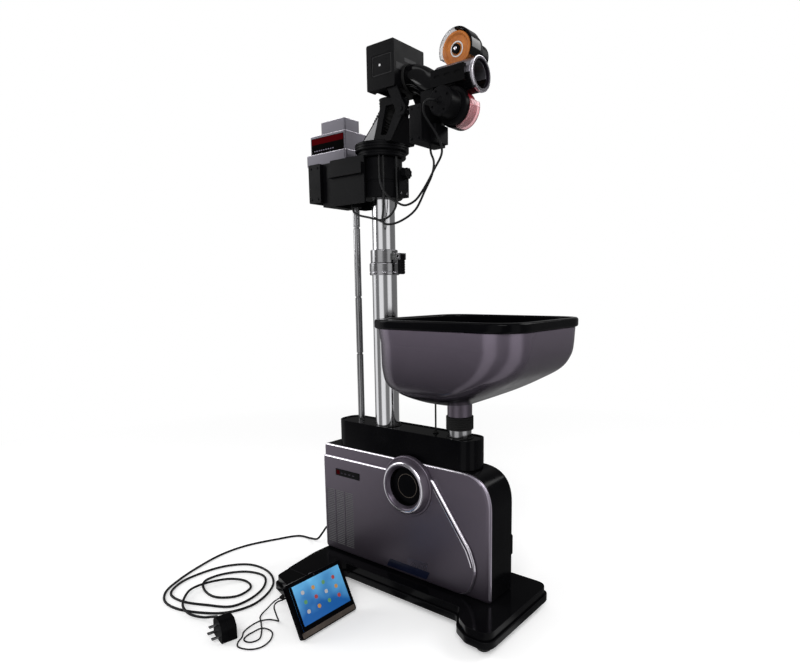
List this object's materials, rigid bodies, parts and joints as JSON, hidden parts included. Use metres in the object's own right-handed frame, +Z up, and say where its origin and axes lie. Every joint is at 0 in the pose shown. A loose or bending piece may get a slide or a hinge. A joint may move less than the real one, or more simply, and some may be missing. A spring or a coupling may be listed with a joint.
{
  "type": "table tennis robot",
  "caption": "Floor-standing table tennis ball launcher with a ball hopper, telescopic mast, tilting two-wheel head and a tablet controller on a lead.",
  "frame": {"origin": "on the floor under the middle of the object's outline, cords left out", "axes": "+X is the way the balls are shot, +Y is the side with the power inlet's far foot, +Z is up"},
  "size_m": [0.7882, 0.528, 1.093],
  "materials": {
    "gloss_black": "gloss",
    "satin_black": "satin",
    "purple_grey": "satin metallic",
    "chrome": "polished",
    "silver_paint": "satin metallic",
    "steel": "brushed",
    "rubber": "matte",
    "amber": "matte",
    "red": "matte",
    "smoke": "clear tinted",
    "ivory": "satin",
    "green": "coated board",
    "screen": "gloss"
  },
  "bodies": {
    "base": {"base_frame": "satin_black", "base_cover": "gloss_black", "foot_pad_1": "rubber", "foot_pad_2": "rubber", "foot_pad_3": "rubber", "foot_pad_4": "rubber", "lead_grommet": "rubber", "body_casing": "satin_black", "front_frame": "purple_grey", "front_cover": "purple_grey", "rear_cover": "satin_black", "porthole_ring": "chrome", "porthole_disc": "gloss_black", "top_cap": "satin_black", "hopper_stay": "rubber", "ball_track": "smoke", "feed_motor": "steel", "power_supply": "silver_paint", "circuit_board": "green", "cord_relief": "rubber", "lower_pole": "chrome", "clamp_collar": "chrome", "hopper_tube": "chrome", "tablet_body": "gloss_black", "tablet_screen": "screen", "power_cord": "rubber", "tablet_lead": "rubber", "power_plug": "gloss_black"},
    "standby_button": {"standby_button": "silver_paint"},
    "feed_wheel": {"feed_wheel": "ivory", "feed_gear": "ivory"},
    "feed_pinion": {"feed_pinion": "steel"},
    "hopper": {"hopper_bowl": "purple_grey", "hopper_rim": "gloss_black", "hopper_coupling": "rubber"},
    "clamp_lever": {"clamp_lever": "steel"},
    "mast_top": {"upper_pole": "chrome", "side_rod": "chrome", "mast_head": "satin_black", "bracket_housing": "satin_black", "receiver_box": "silver_paint", "head_cable_mast": "rubber"},
    "clamp_knob": {"clamp_knob": "satin_black"},
    "turntable": {"head_yoke": "satin_black", "neck_tube": "rubber", "head_cable_tilt": "rubber", "head_cable_motor": "rubber"},
    "head": {"head_box": "satin_black", "feed_elbow": "gloss_black", "ball_tube": "silver_paint", "muzzle_ring": "chrome", "side_rail": "satin_black", "motor_box": "satin_black", "upper_motor": "satin_black", "upper_guard": "smoke", "lower_motor": "satin_black", "lower_guard": "smoke"},
    "upper_wheel": {"upper_wheel": "amber"},
    "lower_wheel": {"lower_wheel": "red"},
    "tablet_stand": {"tablet_stand": "satin_black"}
  },
  "joints": [
    {"name": "standby_press", "type": "slide", "parent": "base", "child": "standby_button", "axis": [0, 0, 1], "range_m": [-0.002, 0], "stiffness_N_per_m": 400, "springref_m": 0.0006},
    {"name": "feed_wheel_turn", "type": "hinge", "parent": "base", "child": "feed_wheel", "pos_m": [-0.00175, 0.07275, 0.172], "axis": [0, 1, 0], "continuous": true},
    {"name": "feed_pinion_turn", "type": "hinge", "parent": "base", "child": "feed_pinion", "pos_m": [-0.00175, 0.07275, 0.22], "axis": [0, 1, 0], "continuous": true},
    {"name": "hopper_lift", "type": "slide", "parent": "base", "child": "hopper", "axis": [0, 0, 1], "range_m": [0, 0.05]},
    {"name": "clamp_lever_swing", "type": "hinge", "parent": "base", "child": "clamp_lever", "pos_m": [-0.05125, 0.07275, 0.7005], "axis": [0, -1, 0], "range_deg": [0, 95]},
    {"name": "mast_height", "type": "slide", "parent": "base", "child": "mast_top", "axis": [0, 0, 1], "range_m": [-0.06, 0.13]},
    {"name": "clamp_knob_turn", "type": "hinge", "parent": "mast_top", "child": "clamp_knob", "pos_m": [-0.04625, 0.08375, 0.862], "axis": [1, 0, 0], "range_deg": [-180, 180]},
    {"name": "head_yaw", "type": "hinge", "parent": "mast_top", "child": "turntable", "pos_m": [-0.09625, 0.07275, 0.9], "axis": [0, 0, 1], "range_deg": [-35, 35], "deforming": ["head_cable_mast"]},
    {"name": "head_pitch", "type": "hinge", "parent": "turntable", "child": "head", "pos_m": [-0.01225, 0.07275, 0.968], "axis": [0, 1, 0], "range_deg": [-10, 15], "deforming": ["head_cable_tilt", "head_cable_motor"]},
    {"name": "upper_wheel_turn", "type": "hinge", "parent": "head", "child": "upper_wheel", "pos_m": [0.09375, 0.07275, 1.055], "axis": [0, 1, 0], "continuous": true},
    {"name": "lower_wheel_turn", "type": "hinge", "parent": "head", "child": "lower_wheel", "pos_m": [0.09375, 0.07275, 0.957], "axis": [0, 1, 0], "continuous": true},
    {"name": "tablet_stand_fold", "type": "hinge", "parent": "base", "child": "tablet_stand", "pos_m": [-0.09456, -0.14375, 0.05603], "axis": [0, -1, 0], "range_deg": [0, 48]}
  ],
  "couplings": [
    {"joint": "feed_pinion_turn", "follows": "feed_wheel_turn", "ratio": -3}
  ]
}
